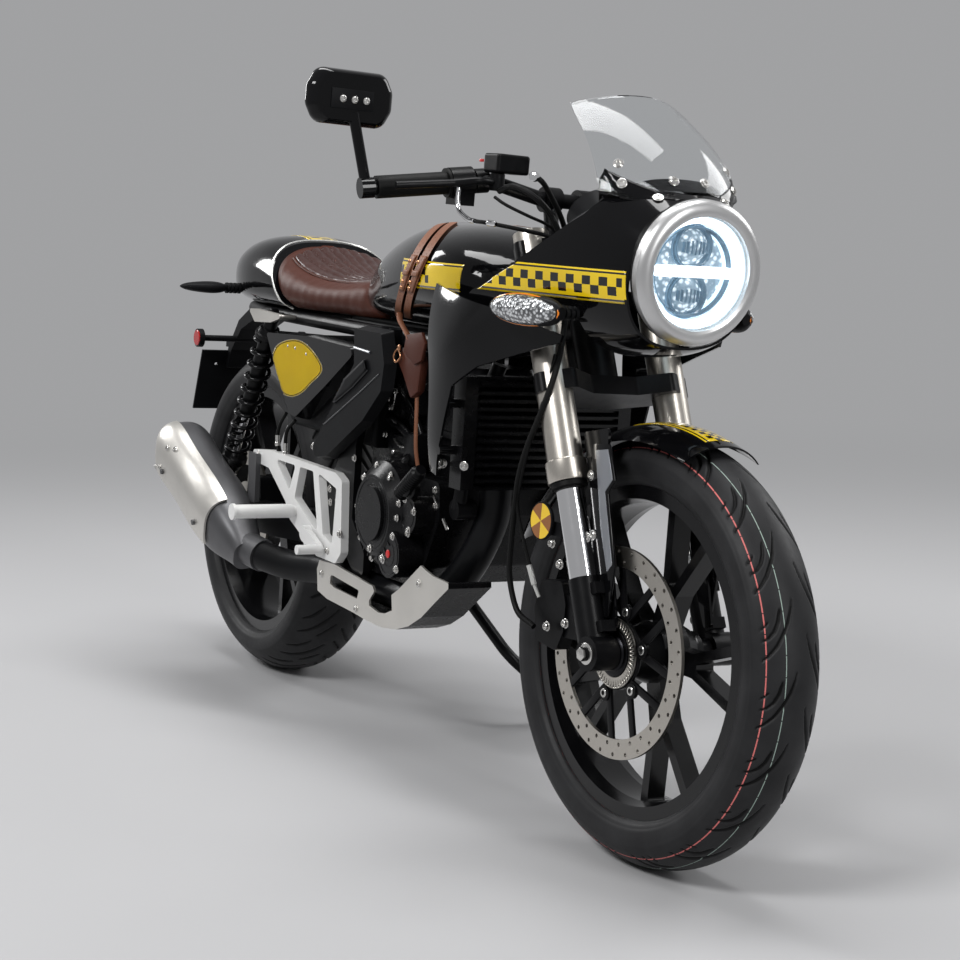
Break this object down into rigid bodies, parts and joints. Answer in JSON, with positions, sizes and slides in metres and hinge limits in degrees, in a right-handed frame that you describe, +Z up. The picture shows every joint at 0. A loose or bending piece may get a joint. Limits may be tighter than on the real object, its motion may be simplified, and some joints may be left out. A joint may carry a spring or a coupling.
{
  "type": "cafe racer motorcycle",
  "caption": "Single-cylinder road motorcycle with half fairing, round lamp, bubble screen, low bars and short tail, leaning on its side stand.",
  "frame": {"origin": "on the ground below the middle of the bounding box", "axes": "+X forwards along the wheelbase, +Y to the rider's left, +Z up; the bike leans 4.5 degrees to +Y"},
  "size_m": [1.8963, 0.7071, 1.1118],
  "materials": {
    "tyre": "black rubber with a road tread",
    "black_cast": "satin black paint",
    "engine_black": "satin black over castings",
    "header_black": "matt heat-proof black",
    "muffler_grey": "dark brushed steel",
    "radiator_black": "satin black",
    "disc_steel": "ground steel",
    "nickel": "satin champagne anodised",
    "chrome": "polished chrome",
    "gloss_black": "gloss black lacquer",
    "champagne": "champagne silver",
    "dark_plastic": "dark grained plastic",
    "rubber": "moulded rubber",
    "seat_leather": "dark brown stitched leather",
    "strap_leather": "light brown leather",
    "white_paint": "white satin paint",
    "screen": "clear",
    "lens": "clear lens",
    "red_lens": "red lens"
  },
  "bodies": {
    "chassis": {"frame_spine": "black_cast", "downtubes": "black_cast", "seat_rails": "black_cast", "pivot_plates": "black_cast", "swingarm": "black_cast", "shocks": "black_cast", "engine_case": "engine_black", "cylinder": "engine_black", "engine_covers": "engine_black", "exhaust_header": "header_black", "muffler": "muffler_grey", "muffler_shield": "champagne", "radiator": "radiator_black", "belly_guard": "champagne", "fuel_tank": "gloss_black", "seat": "seat_leather", "seat_cowl": "gloss_black", "fairing": "gloss_black", "headlight_ring": "champagne", "headlight_unit": "lens", "rear_sets": "white_paint", "foot_pegs": "white_paint", "foot_levers": "white_paint", "windscreen": "screen", "dash_cowl": "dark_plastic", "front_indicators": "dark_plastic", "rear_indicators": "dark_plastic", "tank_shrouds": "gloss_black", "side_covers": "gloss_black", "side_panels": "dark_plastic", "trim_fins": "champagne", "airbox": "dark_plastic", "tank_straps": "strap_leather", "rear_light": "red_lens", "plate_holder": "dark_plastic", "chain": "disc_steel", "rear_caliper": "black_cast"},
    "fork": {"lower_clamp": "black_cast", "upper_clamp": "black_cast", "fork_tubes": "nickel", "fork_stanchions": "chrome", "fork_feet": "black_cast", "front_caliper": "black_cast", "front_fender": "gloss_black", "handlebar": "black_cast", "grips": "rubber", "controls": "black_cast", "mirror_right": "gloss_black", "instrument": "dark_plastic"},
    "front_wheel": {"front_tyre": "tyre", "front_rim": "black_cast", "front_disc": "disc_steel"},
    "rear_wheel": {"rear_tyre": "tyre", "rear_rim": "black_cast", "rear_disc": "disc_steel", "rear_sprocket": "disc_steel"},
    "stand": {"side_stand": "black_cast"},
    "cap": {"fuel_cap": "chrome"}
  },
  "joints": [
    {"name": "steering", "type": "hinge", "parent": "chassis", "child": "fork", "pos_m": [0.61029, 0.00305, 0.28648], "axis": [-0.4099, 0.0716, 0.9093], "range_deg": [-32, 24]},
    {"name": "front_wheel_spin", "type": "hinge", "parent": "fork", "child": "front_wheel", "pos_m": [0.64541, 0.00697, 0.30201], "axis": [-0.0636, 0.9922, -0.1068], "continuous": true},
    {"name": "rear_wheel_spin", "type": "hinge", "parent": "chassis", "child": "rear_wheel", "pos_m": [-0.6415, 0.00461, 0.30633], "axis": [0, 0.9969, -0.0785], "continuous": true},
    {"name": "side_stand_fold", "type": "hinge", "parent": "chassis", "child": "stand", "pos_m": [-0.1715, 0.12095, 0.22969], "axis": [0, 0.91, 0.4147], "range_deg": [0, 104]},
    {"name": "fuel_cap_hinge", "type": "hinge", "parent": "chassis", "child": "cap", "pos_m": [0.0745, 0.0488, 0.8678], "axis": [0, 0.9969, -0.0785], "range_deg": [0, 95]}
  ]
}
